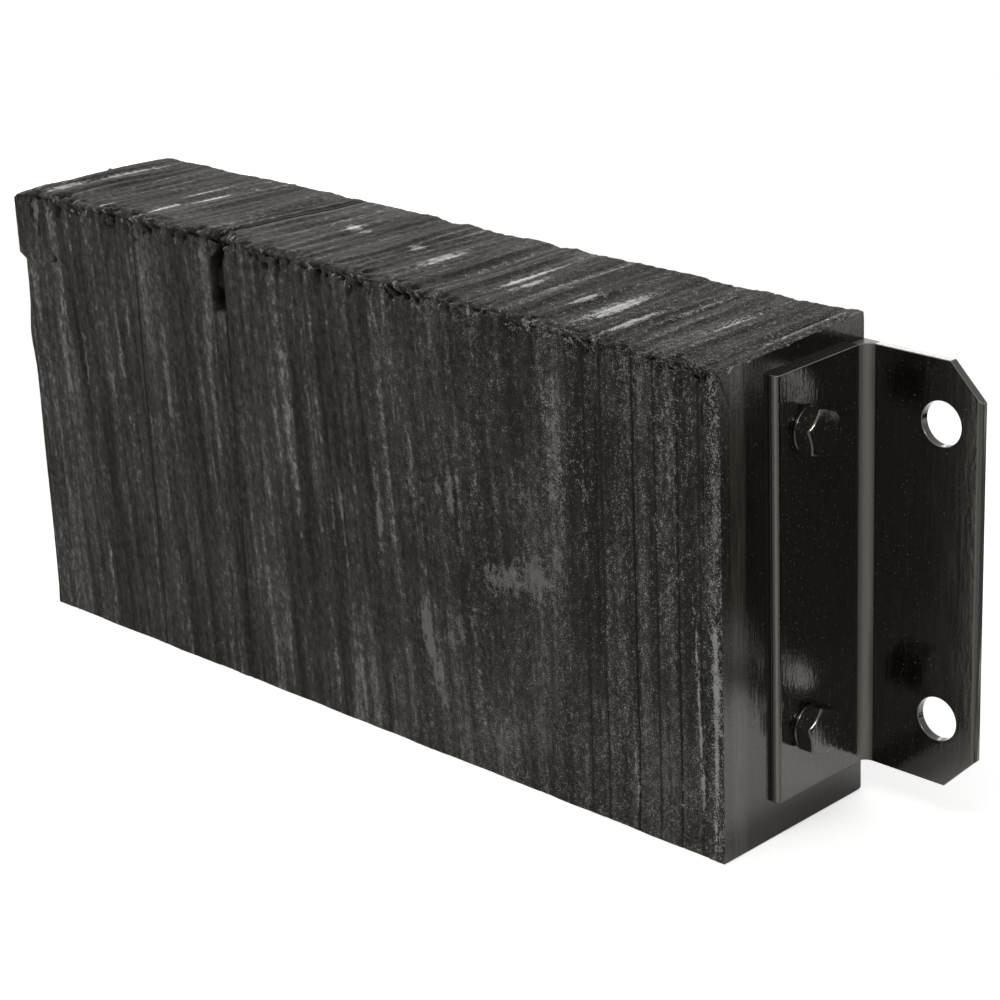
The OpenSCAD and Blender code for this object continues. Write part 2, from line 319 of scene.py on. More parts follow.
# Smooth cuts on the top, glossy and lightened as a painted highlight: middle X and Y, half width,
# half length, strength.
SMOOTH_CUTS = (
    (-260, -36, 3.5, 22, 1.05), (-257, 4, 3.5, 26, 1.05), (-254, 32, 2.5, 16, 0.7),
    (-206, -49, 3.5, 7, 0.95), (-170, -34, 2.2, 16, 1.0), (-165, 2, 2.2, 18, 1.05),
    (-178, 4, 2, 26, 0.95), (-164, 33, 5, 3, 0.5), (-46, 7, 12, 6, 0.8), (6, 4, 6, 8, 0.85),
    (34, -4, 3.5, 22, 0.95), (95, -4, 2, 25, 1.0), (105, -8, 4, 15, 1.0), (147, -12, 3.5, 14, 0.85),
    (168, -10, 5, 27, 1.1), (189, -22, 2.2, 24, 1.0), (-75, 0, 2, 30, 0.45), (-58, -20, 2, 24, 0.42),
    (15, 0, 1.6, 34, 0.42), (118, 0, 2, 40, 0.40), (205, 10, 3, 34, 0.46), (232, 10, 5, 26, 0.50),
    (266, 18, 3, 34, 0.60), (-120, 0, 2, 36, 0.45), (-143, 8, 2, 24, 0.42), (-100, -14, 2, 20, 0.45),
    (63, -4, 1.5, 20, 0.45), (128, 14, 1.5, 22, 0.45),
)
# Paint that ran on to the front from the end, lightened as a painted highlight: middle X and Z, half
# width, half height, strength.
PAINT_RUNS = (
    (270.2, 98, 3.2, 30, 1.0), (270, 60, 2.2, 40, 0.8), (269, 20, 1.8, 16, 0.7),
    (255.6, 138, 0.8, 13, 1.0), (257.2, 116, 0.8, 16, 1.0), (258.5, 90, 0.9, 18, 0.95),
    (259.8, 64, 1.2, 20, 0.9), (261, 38, 1.6, 18, 0.9), (270, 122, 2.6, 13, 1.0),
    (214.5, 45, 0.8, 14, 0.5), (216, 22, 1.0, 14, 0.8),
)
# Pits in the front: X, Z, radius and depth.
FRONT_PITS = (
    (-251, 231.5, 1.8, 3.5), (259.7, 262, 2.2, 4.0), (-104, 93, 1.3, 2.0), (-101, 228, 2.2, 3.0),
)
# Dark cord layers that show on the front: X.
CORD_LINES = (217.0, 246.5, 260.8, 184.0, 232.0, 196.0, -92.0, -172.0)
CORD_WIDTH = 0.55
# How much darker than the rest some places are, the pits, holes and cleft by painted shade, and how
# far one pad's tone is from the next one's.
PIT_SHADE, HOLE_SHADE, CLEFT_SHADE, CORD_DARK = 0.7, 1.6, 1.3, 0.9
CLEFT_SHADE_FROM = 0.5
FLAP_DARK, FLAP_DARK_RISE = 0.15, 6.0
TONE_VARIES = 0.05
# How frayed the strands, chips and chipped edge are, then the right half and the right front edge,
# whose light specks are partly painted glints of overspray.
STRAND_FRAY, CHIP_FRAY, CHIPPED_FRAY = 1.4, 1.2, 0.3
HALF_FRAY, HALF_FRAY_FROM, HALF_FRAY_RISE = 0.05, 120.0, 140.0
EDGE_FRAY_AND_GLINTS, EDGE_GLINTS_FROM, EDGE_GLINTS_RISE = 0.36, 262.0, 7.0
CORD_CLEAN = 0.5

# The points round a pad's sawn edges: which edge, distances to its two ends and round the stack,
# place in Y and Z, and the way out of the rubber.
Outline = namedtuple("Outline", "edge start end along y z out")


def smooth(share):
    """0 up to 0, 1 from 1 on, and smooth between them."""
    share = np.clip(share, 0, 1)
    return share * share * (3 - 2 * share)


def relief(roughness, along, x):
    """Random heights from -1 to 1 at each point and row, smooth between knots one cell apart.

    They hang together over the whole stack, so that saw marks run on from pad to pad."""
    seed, cell_along, cell_x = roughness
    a, b = along / cell_along, (x - STACK_LOW[0]) / cell_x
    around = 2 * (TALL + DEEP)
    size = (int(around / cell_along) + 4, int((STACK_HIGH[0] - STACK_LOW[0]) / cell_x) + 4)
    knots = np.random.default_rng(seed).uniform(-1, 1, size)
    ia, ib = a.astype(int), b.astype(int)
    fa, fb = smooth(a - ia)[:, None], smooth(b - ib)
    rows = knots[ia] * (1 - fa) + knots[ia + 1] * fa
    return rows[:, ib] * (1 - fb) + rows[:, ib + 1] * fb


def raised(heights):
    """Heights from -1 to 1, brought to lie from 0 to 1."""
    return 0.5 + 0.5 * heights


def spots(patches, x, along):
    """How much the listed patches cover each point, from 0 to 1."""
    cover = np.zeros_like(x)
    for middle_x, middle_along, half_width, half_length, strength in patches:
        away = ((x - middle_x) / half_width) ** 2 + ((along - middle_along) / half_length) ** 2
        cover = np.maximum(cover, strength * np.exp(-away))
    return cover


def points_along(length, step, fine_start=False, fine_end=False):
    """Distances along a sawn edge, closer together where it meets the torn corner."""
    first = TORN_REACH if fine_start else 0.0
    last = length - (TORN_REACH if fine_end else 0.0)
    parts = (
        np.arange(0, first, STEP_TORN),
        np.linspace(first, last, round((last - first) / step), False),
        np.arange(last, length, STEP_TORN),
    )
    return np.concatenate(parts) + STEP_TORN / 4


def sawn_outline(low, high):
    """The points round a pad in that box: up the front, back over the top, down and along the foot."""
    y0, y1, z0, z1 = low[1], high[1], low[2], high[2]
    tall, deep = z1 - z0, y1 - y0
    front = points_along(tall, STEP_FRONT, fine_end=True)
    top = points_along(deep, STEP_TOP, fine_start=True)
    back = points_along(tall, STEP_BACK)
    foot = points_along(deep, STEP_FOOT)
    parts = (
        (front, tall, front, y0 + 0 * front, z0 + front, (-1, 0), (0, -1), (0, 1)),
        (top, deep, TALL + top, y0 + top, z1 + 0 * top, (0, 1), (-1, 0), (1, 0)),
        (back, tall, TALL + DEEP + back, y1 + 0 * back, z1 - back, (1, 0), (0, 1), (0, -1)),
        (foot, deep, 2 * TALL + DEEP + foot, y1 - foot, z0 + 0 * foot, (0, -1), (1, 0), (-1, 0)),
    )
    columns = [[] for _ in Outline._fields]
    for number, (marks, length, around, y, z, out, before, after) in enumerate(parts):
        near_start = np.exp(-marks / CORNER_REACH)[:, None]
        near_end = np.exp(-(length - marks) / CORNER_REACH)[:, None]
        way = np.array(out) + near_start * np.array(before) + near_end * np.array(after)
        way /= np.linalg.norm(way, axis=1)[:, None]
        edge = np.full(len(marks), number)
        for column, part in zip(columns, (edge, marks, length - marks, around, y, z, way)):
            column.append(part)
    return Outline(*(np.concatenate(column) for column in columns))


def between_neighbours(number, axis, corner, across, thick):
    """How far each row stands past the pad's own edge, to meet its neighbours half way at the seams."""
    own = PAD_BOXES[number][corner][axis]
    before = PAD_BOXES[max(number - 1, 0)][corner][axis]
    after = PAD_BOXES[min(number + 1, len(PAD_BOXES) - 1)][corner][axis]
    share = across / thick
    shift = (before - own) / 2 * smooth(1 - 2 * share) + (after - own) / 2 * smooth(2 * share - 1)
    return shift if corner else -shift


def torn_corner(outline, x):
    """How torn the front top corner is at each point, with the holes and the strands in it."""
    torn = np.where(outline.edge == FRONT, np.exp(-(outline.end / TORN_FADE) ** 2), 0.0)
    torn = torn + np.where(outline.edge == TOP, np.exp(-(outline.start / TORN_FADE) ** 2), 0.0)
    stretches = smooth(0.5 + TORN_CONTRAST * relief(TORN_GRAIN, outline.along, x))
    torn = torn[:, None] * (TORN_LEAST + TORN_VARIES * stretches)
    torn = torn * smooth((x - STACK_LOW[0] - TORN_START) / TORN_RISE)
    hole = torn * np.maximum(0, relief(HOLE_GRAIN, outline.along, x) - HOLE_FROM)
    strand = torn * np.maximum(0, relief(STRAND_GRAIN, outline.along, x) - STRAND_FROM)
    return torn, hole, strand


def sawn_depth(number, outline, across, x):
    """How deep each point lies in the pad's box, and the flaws that also show in its colour."""
    edge, start, end, along = outline.edge, outline.start, outline.end, outline.along
    thick = across[-1]
    on_front, on_top = (edge == FRONT)[:, None], (edge == TOP)[:, None]

    depth = (SUNK - GROOVES / 2 - CRUMBS / 2)[edge][:, None] + np.zeros(len(across))
    depth += GROOVES[edge][:, None] * raised(relief(GROOVE_GRAIN, along, x))
    calm = np.where(edge == TOP, CALM_LEAST + CALM_VARIES * smooth(end / CALM_REACH), 1)[:, None]
    depth += calm * RIDGES[edge][:, None] * relief(RIDGE_GRAIN, along, x)
    depth += SWELLS[edge][:, None] * relief(SWELL_GRAIN, along, x)
    depth += CRUMBS[edge][:, None] * raised(relief(CRUMB_GRAIN, along, x))
    for side, axis, corner in ((FRONT, 1, 0), (TOP, 2, 1), (FOOT, 2, 0)):
        depth -= (edge == side)[:, None] * between_neighbours(number, axis, corner, across, thick)
    crown = CROWN * np.exp(-((x - CROWN_X) / CROWN_HALF) ** 4)
    arch = np.cos(math.pi * outline.y / DEEP)[:, None]
    bow = END_BOW * np.exp(-(x - STACK_LOW[0]) / END_BOW_REACH) * arch
    depth -= on_top * (crown + bow)

    torn, hole, strand = torn_corner(outline, x)
    tear = TEARS * torn * np.maximum(0, relief(TEAR_GRAIN, along, x) - TEAR_FROM)
    depth += tear + PITS * hole - STRANDS * strand
    depth += CRUMBLE * torn * relief(CRUMBLE_GRAIN, along, x)
    right_end = number == len(PAD_NAMES) - 1
    chipped = right_end * np.exp((across - thick) / CHIP_WIDTH) * on_top
    chip = chipped * np.maximum(0, relief(CHIP_GRAIN, along, x) - CHIP_FROM)
    depth += CHIPS * chip
    depth -= FOOT_BURR * np.where(edge == FRONT, np.exp(-start / FOOT_REACH), 0)[:, None]
    to_corner = np.where(edge == FRONT, end, np.where(edge == FOOT, start, np.minimum(start, end)))
    depth += CORNER_ROUND * np.exp(-to_corner / CORNER_ROUND)[:, None]
    left_lip = OPEN_LIPS.get(number, PLAIN_LIP) * np.exp(-across / LIP_WIDTH)
    right_lip = OPEN_LIPS.get(number + 1, PLAIN_LIP) * np.exp((across - thick) / LIP_WIDTH)
    depth += (LIP_LEAST + LIP_VARIES * relief(LIP_GRAIN, along, x)) * (left_lip + right_lip)
    pit = np.zeros_like(depth)
    for pit_x, pit_z, radius, pit_depth in FRONT_PITS:
        away = ((x - pit_x) ** 2 + ((outline.z - pit_z) ** 2)[:, None]) / radius ** 2
        pit += on_front * np.exp(-away ** 2)
        depth += on_front * pit_depth * np.exp(-away ** 2)
    flaws = {"hole": hole, "strand": strand, "chip": chip, "chipped": chipped, "pit": pit}
    return depth, flaws


def cleft_share(outline, across, x, top):
    """How much of the cleft's depth each point of the pad beside it has lost."""
    opening = smooth((top - MOUTH_DROP - outline.z) / MOUTH_FADE)[:, None]
    wavy = relief(CLEFT_GRAIN, outline.along, x)
    wall = across[-1] * (CLEFT_MIDDLE - CLEFT_WIDER * opening + CLEFT_RAGGED * wavy)
    height_share = (outline.z - top + CLEFT_HEIGHT) / CLEFT_HEIGHT
    shown = (outline.edge == FRONT) | (outline.edge == TOP)
    deep_share = np.interp(height_share, CLEFT_HEIGHTS, CLEFT_DEPTHS) * shown
    return smooth((across - wall) / CLEFT_WALL) * deep_share[:, None]


def end_bulge(y, z):
    """How far the left end stands out past its plain face."""
    free = smooth((BULGE_Y - y) / BULGE_FADE)
    swell = SWELL * np.exp(-((z - SWELL_Z) / SWELL_HALF) ** 2)
    flap = smooth((z - FLAP_FOOT) / FLAP_FOOT_FADE) * smooth((FLAP_Y - y) / FLAP_FADE)
    flap = flap * (1 - FLAP_TOP_DROP * smooth((z - FLAP_TOP) / FLAP_TOP_FADE))
    beside = smooth((y - left_low[1]) / CLAMP_FADE + 1)
    below = smooth((left_high[2] - z) / CLAMP_FADE + 1)
    flap = flap * (1 - beside * below)
    return (BULGE + swell) * free + FLAP * flap


def flat_side(outline, low, high, shares):
    """The points of a pad's flat side in Y and Z, and the triangles that fill it round its bores."""
    middle = (low[1:] + high[1:]) / 2
    around = np.stack([outline.y, outline.z], -1)
    rings = [middle + (around - middle) * share for share in shares]
    turns = np.arange(BORE_SIDES) * 2 * math.pi / BORE_SIDES
    bores = [
        np.stack([BOLT_Y + BORE_RADIUS * np.cos(turns), bolt_z + BORE_RADIUS * np.sin(turns)], -1)
        for bolt_z in BOLT_ZS
    ]
    loops = [[Vector((*point, 0)) for point in loop] for loop in (rings[-1], *bores)]
    filled = np.array(geometry.tessellate_polygon(loops)) + len(around) * (len(rings) - 1)
    return np.concatenate([*rings, *bores]), filled


def pad_faces(count, rows, rings, flat_count, filled):
    """A pad's faces as point numbers: its sawn edges, its left and right side, and its bores.

    The list that comes with them says where the left side, the right side and the bores start."""
    point = np.arange(count)
    after = np.roll(point, -1)
    faces = []
    for row in range(rows - 1):
        a, b = point * rows + row, after * rows + row
        faces += np.column_stack([a, b, b + 1, a + 1]).tolist()
    starts = []
    left = count * rows
    right = left + flat_count
    for row, first in ((0, left), (rows - 1, right)):
        starts.append(len(faces))
        a, b = point * rows + row, after * rows + row
        faces += np.column_stack([a, first + point, first + after, b]).tolist()
        for ring in range(rings - 1):
            a, b = first + ring * count + point, first + ring * count + after
            faces += np.column_stack([a, a + count, b + count, b]).tolist()
        faces += (first + filled).tolist()
    starts.append(len(faces))
    for bore in range(len(BOLT_ZS)):
        a = count * rings + bore * BORE_SIDES + np.arange(BORE_SIDES)
        b = np.roll(a, -1)
        faces += np.column_stack([left + a, left + b, right + b, right + a]).tolist()
    return faces, starts


def wear_and_light_marks(number, edge, rim, flaws, cleft):
    """What the rubber's finish reads at each sawn point: tone, darkened by painted shade in pits, holes
    and the cleft, scuffs, frayed cords and smooth cuts, with painted highlights on the cuts and paint
    runs and painted glints along the right front edge.
    """
    facing = np.repeat(edge, rim.shape[1])
    on_front, on_top = facing == FRONT, facing == TOP
    x, y, z = rim.reshape(-1, 3).T
    cords = sum(np.exp(-((x - line_x) / CORD_WIDTH) ** 2) for line_x in CORD_LINES)
    own_tone = np.random.default_rng(TONE_SEED + number).uniform(-TONE_VARIES, TONE_VARIES)
    shaded_in_cleft = np.minimum(cleft / CLEFT_SHADE_FROM, 1)
    # Pits, holes and the cleft are darkened by painted shade.
    painted_recess_shade = (PIT_SHADE * flaws["pit"] + HOLE_SHADE * flaws["hole"] + CLEFT_SHADE * shaded_in_cleft).ravel()
    on_flap = (number == 0) * smooth((z - FLAP_FOOT) / FLAP_DARK_RISE)
    dull = spots(DULL_PATCHES, x, z) + FLAP_DARK * on_flap
    frayed = STRAND_FRAY * flaws["strand"] + CHIP_FRAY * flaws["chip"] + CHIPPED_FRAY * flaws["chipped"]
    right_half = HALF_FRAY * smooth((x - HALF_FRAY_FROM) / HALF_FRAY_RISE)
    # Light specks along the right front edge, partly painted glints of overspray.
    right_edge_glints = EDGE_FRAY_AND_GLINTS * smooth((x - EDGE_GLINTS_FROM) / EDGE_GLINTS_RISE) - CORD_CLEAN * cords
    run = np.where(on_front, spots(PAINT_RUNS, x, z), 0)
    return {
        "tone_and_shade": own_tone - painted_recess_shade - np.where(on_front, CORD_DARK * cords + dull, 0),
        "scuff_and_glints": np.where(on_front, spots(SCUFFS_AND_EDGE_GLINTS, x, z) * (1 - np.minimum(cords, 1)), 0),
        "fray_and_glints": frayed.ravel() + right_half + np.where(on_front, right_edge_glints, 0),
        "shine": np.where(on_top, spots(SMOOTH_CUTS, x, y), 0) + run,
    }


def pad_piece(number):
    """One sawn pad as a closed mesh with its two bores, in place of the plain solid of that name."""
    name = PAD_NAMES[number]
    low, high = PAD_BOXES[number]
    left_end = number == 0
    outline = sawn_outline(low, high)
    thick = high[0] - low[0]
    inner_rows = round((thick - 2 * FIRST_ROW) / ROW_GAP) + 1
    inner = np.linspace(FIRST_ROW, thick - FIRST_ROW, inner_rows)
    across = np.concatenate([[0, RIM_ROW], inner, [thick - RIM_ROW, thick]])
    x = low[0] + across

    depth, flaws = sawn_depth(number, outline, across, x)
    cleft = np.zeros_like(depth)
    if number == CLEFT_NUMBER:
        cleft = cleft_share(outline, across, x, high[2])
    from_back = np.where(outline.edge == TOP, outline.end / DEEP, 1)[:, None]
    rim_y = outline.y[:, None] - outline.out[:, :1] * depth + CLEFT_DEPTH * cleft * from_back
    up_front = np.where(outline.edge == FRONT, np.exp(-outline.end / EDGE_FADE), 0)
    lifted = np.where(outline.edge == TOP, outline.end / DEEP, up_front)[:, None]
    rim_z = outline.z[:, None] - outline.out[:, 1:] * depth
    rim_z = np.maximum(rim_z + lifted * np.interp(x, EDGE_XS, EDGE_LIFTS), FLOOR_GAP)
    loose = 1 - (np.abs(x) / STACK_HIGH[0]) ** HELD_POWER
    rim_x = x + WANDER * loose * relief(WANDER_GRAIN, outline.along, x)
    rim = np.stack([rim_x, rim_y, rim_z], -1)

    count, rows = depth.shape
    shares = END_RINGS if left_end else PLAIN_RINGS
    flat, filled = flat_side(outline, low, high, shares)
    sides = [np.column_stack([np.full(len(flat), side_x), flat]) for side_x in (low[0], high[0])]
    points = np.concatenate([rim.reshape(-1, 3), *sides])
    if left_end:
        points[:, 0] -= end_bulge(points[:, 1], points[:, 2]) * (high[0] - points[:, 0]) / thick
    faces, side_starts = pad_faces(count, rows, len(shares), len(flat), filled)
    sawn_faces = side_starts[0]
    mesh = bpy.data.meshes.new(name + "_sawn")
    mesh.from_pydata((points * MM).tolist(), [], faces)
    shape = bmesh.new()
    shape.from_mesh(mesh)
    bmesh.ops.recalc_face_normals(shape, faces=shape.faces)
    for face in shape.faces:
        face.smooth = left_end or face.index < sawn_faces
    for line in shape.edges:
        one, other = line.link_faces
        rim_line = (one.index < sawn_faces) != (other.index < sawn_faces)
        line.smooth = not rim_line and line.calc_face_angle() < CREASE
    shape.to_mesh(mesh)
    shape.free()

    for mark, values in wear_and_light_marks(number, outline.edge, rim, flaws, cleft).items():
        layer = mesh.attributes.new(mark, "FLOAT", "POINT")
        whole = np.concatenate([values, np.zeros(len(points) - len(values))])
        layer.data.foreach_set("value", whole.astype(np.float32))
    mesh.materials.append(rubber)
    piece = bpy.data.objects.new(name + "_sawn", mesh)
    bpy.context.scene.collection.objects.link(piece)
    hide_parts(name)
    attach(piece, "root")
    return piece, side_starts


pads = [pad_piece(number) for number in range(len(PAD_NAMES))]


# Painted ends. The two outermost pads were sprayed gloss black along with the steel, so their
# outer faces are smooth and mirror-like, with vertical ripples and specks near the front edge.
PAINT_BLACK = (0.0050, 0.0033, 0.0023)
# A near-black painted shade for the line beside the steel leg.
SHADE_LINE_BLACK = (0.0006, 0.0005, 0.0004)
# Dull film grey, which near the painted end's front edge also paints a reflection.
FILM_AND_SHEEN_GREY = (0.0520, 0.0455, 0.0395)
DUST_GREY = (0.085, 0.080, 0.073)
PAINT_SHEEN = (1.0, 0.93, 0.86, 1.0)
RIPPLE_CELLS = (60, 150, 7)
PEEL_CELLS = (420, 420, 420)
NIB_CELLS = (900, 900, 700)
BRUSH_CELLS = (500, 500, 30)
# From the front edge back, in metres: the specked edge, the dull film with a lighter band that is a
# painted reflection, and a near-black line beside the steel leg, painted shade, with its foot and top.
SPECKED_END = (-0.056, -0.044)
SHEEN_BAND_START, SHEEN_BAND_END = (-0.0505, -0.0480), (-0.042, -0.036)
SHADE_LINE_START, SHADE_LINE_END = (-0.0250, -0.0228), (-0.0192, -0.0182)
SHADE_LINE_FOOT, SHADE_LINE_TOP = (0.018, 0.022), (0.252, 0.256)

end_paint, end_paint_shader, place = finish(
    "painted_rubber_end", {"IOR": 1.5, "Specular Tint": PAINT_SHEEN},
)
y, z = place.part("Y"), place.part("Z")
ripple = place.stretch(*RIPPLE_CELLS).noise(2, 0.5)
peel = place.stretch(*PEEL_CELLS).noise(2, 0.5)
nibs = place.stretch(*NIB_CELLS).noise(2, 0.6)
streaks = place.stretch(*BRUSH_CELLS).noise(3, 0.6)
front_edge = 1 - y.rise(*SPECKED_END)
# A lighter band near the front edge: film and a painted reflection.
film_and_sheen = (0.3 + 0.5 * y.rise(*SHEEN_BAND_START)) * (1 - y.rise(*SHEEN_BAND_END))
film_and_sheen = film_and_sheen * (1 + 3 * streaks) + 0.1 * streaks.rise(0.0, 0.2)
dusty = (nibs + 0.08 * front_edge).rise(0.18, 0.25)
# The line beside the steel leg is painted shade.
beside_leg = y.rise(*SHADE_LINE_START) * (1 - y.rise(*SHADE_LINE_END))
painted_shade_line = beside_leg * z.rise(*SHADE_LINE_FOOT) * (1 - z.rise(*SHADE_LINE_TOP))
painted = dusty.blend(film_and_sheen.blend(PAINT_BLACK, FILM_AND_SHEEN_GREY), DUST_GREY)
feed(
    end_paint_shader,
    Base_Color=painted_shade_line.blend(painted, SHADE_LINE_BLACK),
    Roughness=0.14 + 0.05 * front_edge + 0.2 * peel,
    Normal=bump(0.03 * ripple + 0.04 * peel + 0.1 * streaks + 0.08 * dusty, MM),
)

for (piece, side_starts), side in ((pads[0], 0), (pads[-1], 1)):
    piece.data.materials.append(end_paint)
    for face in piece.data.polygons[side_starts[side]:side_starts[side + 1]]:
        face.material_index = 1


# Steel angles. A length of hot-rolled angle clamps each end of the stack; its other leg is the
# wall flange with two anchor holes and clipped corners. Sprayed gloss black, paint thin on edges,
# with a painted reflection on the toes and in the root and painted highlights on the rounded edges.
# Thin paint, and the painted reflection on the toes and in the root.
THIN_PAINT_AND_SHEEN_GREY = (0.1220, 0.1150, 0.1060)
# Rubbed paint on the rounded edges, partly a painted highlight.
RUBBED_AND_HIGHLIT_GREY = (0.1100, 0.1040, 0.0960)
GLOSSY, SATIN = 0.14, 0.25
STEEL_PEEL_CELLS = (360, 360, 360)
SWIRL_CELLS = (380, 380, 130)
DUST_CELLS = (900, 900, 900)
ANGLE_EDGE_MM = 0.4
WELD_MM, FLAT_WITHIN, ROUND_FROM, ROUND_STEPS = 0.01, math.radians(0.5), math.radians(40), 3
angle_low, angle_high = (np.array(corner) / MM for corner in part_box("right_angle"))
ANGLE_THICK, ROOT_RADIUS = 4.8, 6.0
ROOT_X = angle_low[0] + ANGLE_THICK + ROOT_RADIUS
ROOT_Y = angle_high[1] - ANGLE_THICK - ROOT_RADIUS
# Where the paint is thin on the flange's tip, and where a painted reflection lightens the toe and the
# root: millimetres past the lines of the toe, the flange's tip and the root.
TOE_FRONT, TOE_SIDE = (0.2, 1.2), (0.9, 1.7)
TIP_SIDE = (-0.8, -0.2)
ROOT_FRONT, ROOT_SIDE = (-0.1, 0.5), (-0.5, 0.1)
TIP_THIN, ROOT_SHEEN = 0.6, 0.6
# How far out along the flange, in metres, its swirls calm down and its brushed film starts.
FLANGE_CALM, FLANGE_FILM = (0.30, 0.32), (0.315, 0.345)


def past(distance, line, fade_from, fade_to):
    """0 to 1 from so far past a line of the steel to so far past it, in millimetres."""
    return distance.rise((line + fade_from) * MM, (line + fade_to) * MM)


def steel_finish(name, ground, roughness):
    """Black paint over that ground colour: brushed streaks, dust specks, a painted reflection in light
    grey along the toes and in the root of an angle, where the paint dried dull, and thin paint on the
    flange's tip."""
    material, shader, place = finish(name, {"IOR": 1.6, "Specular Tint": PAINT_SHEEN})
    peel = place.stretch(*STEEL_PEEL_CELLS).noise(2, 0.5)
    brushed = place.stretch(*BRUSH_CELLS).noise(3, 0.6)
    swirled = place.stretch(*SWIRL_CELLS).noise(2, 0.6)
    dusty = place.stretch(*DUST_CELLS).noise(1, 0.5).rise(0.19, 0.25)
    out, y = place.part("X").size(), place.part("Y")
    toe = (1 - past(y, angle_low[1], *TOE_FRONT)) * past(out, angle_low[0], *TOE_SIDE)
    tip = TIP_THIN * past(out, angle_high[0], *TIP_SIDE)
    root = past(y, ROOT_Y, *ROOT_FRONT) * (1 - past(out, ROOT_X, *ROOT_SIDE))
    film_and_sheen = 0.22 * out.rise(*FLANGE_FILM) * (1 + 4 * brushed) + 0.12 * brushed.rise(0.0, 0.2)
    # The toe and root are lightened as a painted reflection; the tip has thin paint.
    thin_and_sheen = toe.most(tip).most(ROOT_SHEEN * root)
    paint = thin_and_sheen.blend(film_and_sheen.blend(ground, FILM_AND_SHEEN_GREY), THIN_PAINT_AND_SHEEN_GREY)
    swirls = swirled * (0.14 - 0.08 * out.rise(*FLANGE_CALM))
    feed(
        shader,
        Base_Color=dusty.blend(paint, DUST_GREY),
        Roughness=roughness + 0.16 * brushed + 0.3 * root,
        Normal=bump(0.03 * peel + swirls + 0.05 * dusty, MM),
    )
    return material


steel_paint = steel_finish("gloss_black_paint", PAINT_BLACK, GLOSSY)
# Its lighter grey on the angles' rounded edges is rubbed paint and partly a painted highlight.
rubbed_and_highlit_paint = steel_finish("paint_rubbed_and_highlit_at_the_edges", RUBBED_AND_HIGHLIT_GREY, SATIN)


def dress(node, finish_material, edge_material, edge_mm):
    """Gives a CAD piece its finish and the small rounds that a real edge has."""
    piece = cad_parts[node]
    piece.data.materials.clear()
    piece.data.materials.append(finish_material)
    piece.data.materials.append(edge_material)
    weld = piece.modifiers.new("weld", "WELD")
    weld.merge_threshold = WELD_MM * MM
    joined = piece.modifiers.new("joined_flats", "DECIMATE")
    joined.decimate_type = "DISSOLVE"
    joined.angle_limit = FLAT_WITHIN
    rounds = piece.modifiers.new("edge_rounds", "BEVEL")
    rounds.width = edge_mm * MM
    rounds.segments = ROUND_STEPS
    rounds.limit_method = "ANGLE"
    rounds.angle_limit = ROUND_FROM
    rounds.material = 1
    evened = piece.modifiers.new("even_shading", "WEIGHTED_NORMAL")
    evened.weight = 100
    evened.keep_sharp = False


for name in ("left_angle", "right_angle"):
    # The angles' rounded edges take the rubbed grey, partly a painted highlight.
    dress(name, steel_paint, rubbed_and_highlit_paint, ANGLE_EDGE_MM)


# Tie bolts, washers and nuts. Two long steel rods with forged hex heads run through the whole
# stack and draw the angles together; their nuts sit on the left. All were sprayed over with the rest.
FASTENER_EDGE_MM = 0.7
THREAD_PITCH, THREAD_ROOT, THREAD_CREST, THREAD_SIDES = 2.0, 7.6, 8.3, 32
RIDGE_HALF = 0.45 * THREAD_PITCH
RUN_OUT, START_CREST = 3, 0.4
bolt_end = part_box("tie_bolts")[0][0] / MM
nut_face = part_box("hex_nuts")[0][0] / MM


def thread(name, bolt_z):
    """The last turns of a tie bolt's thread, which stand out of its nut: a ridge along a helix."""
    turns = (nut_face - bolt_end - THREAD_PITCH) / THREAD_PITCH
    count = round(turns * THREAD_SIDES) + 1
    points, faces = [], []
    for step in range(count):
        angle = 2 * math.pi * step / THREAD_SIDES
        middle_x = bolt_end + THREAD_PITCH / 2 + THREAD_PITCH * step / THREAD_SIDES
        fade = min(1, RUN_OUT * step / THREAD_SIDES, RUN_OUT * (count - 1 - step) / THREAD_SIDES)
        height = START_CREST + (1 - START_CREST) * fade
        crest = THREAD_ROOT + (THREAD_CREST - THREAD_ROOT) * height
        for shift, radius in ((-RIDGE_HALF, THREAD_ROOT), (0, crest), (RIDGE_HALF, THREAD_ROOT)):
            point_y = BOLT_Y + radius * math.cos(angle)
            point_z = bolt_z + radius * math.sin(angle)
            points.append((middle_x + shift, point_y, point_z))
        if step:
            first = 3 * (step - 1)
            for side in range(3):
                a, b = first + side, first + (side + 1) % 3
                faces.append((a, b, b + 3, a + 3))
    faces.append((0, 1, 2))
    faces.append((3 * count - 1, 3 * count - 2, 3 * count - 3))
    mesh = bpy.data.meshes.new(name)
    mesh.from_pydata([tuple(value * MM for value in point) for point in points], [], faces)
    shape = bmesh.new()
    shape.from_mesh(mesh)
    bmesh.ops.recalc_face_normals(shape, faces=shape.faces)
    shape.to_mesh(mesh)
    shape.free()
    mesh.materials.append(steel_paint)
    piece = bpy.data.objects.new(name, mesh)
    bpy.context.scene.collection.objects.link(piece)
    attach(piece, "root")


for name in ("tie_bolts", "head_washers", "nut_washers", "hex_nuts"):
    dress(name, steel_paint, steel_paint, FASTENER_EDGE_MM)
for name, bolt_z in zip(("lower_thread", "upper_thread"), BOLT_ZS):
    thread(name, bolt_z)


# Floor. A pale sheet a little longer than the bumper lies under it, on a studio floor that is dark
# where the gloss paint mirrors it, with white cards to the sides. To the camera all of it is white,
# but for the shadow on the sheet. Sizes are in metres.
SHEET_WHITE = (0.8, 0.8, 0.79)
STUDIO_DARK = (0.024, 0.014, 0.010)
FLOOR_HALF, FLOOR_DROP = 4.0, 0.3 * MM
SHEET_HALF_X, SHEET_BACK, SHEET_WIDE_FROM = 0.412, 0.55, -0.01
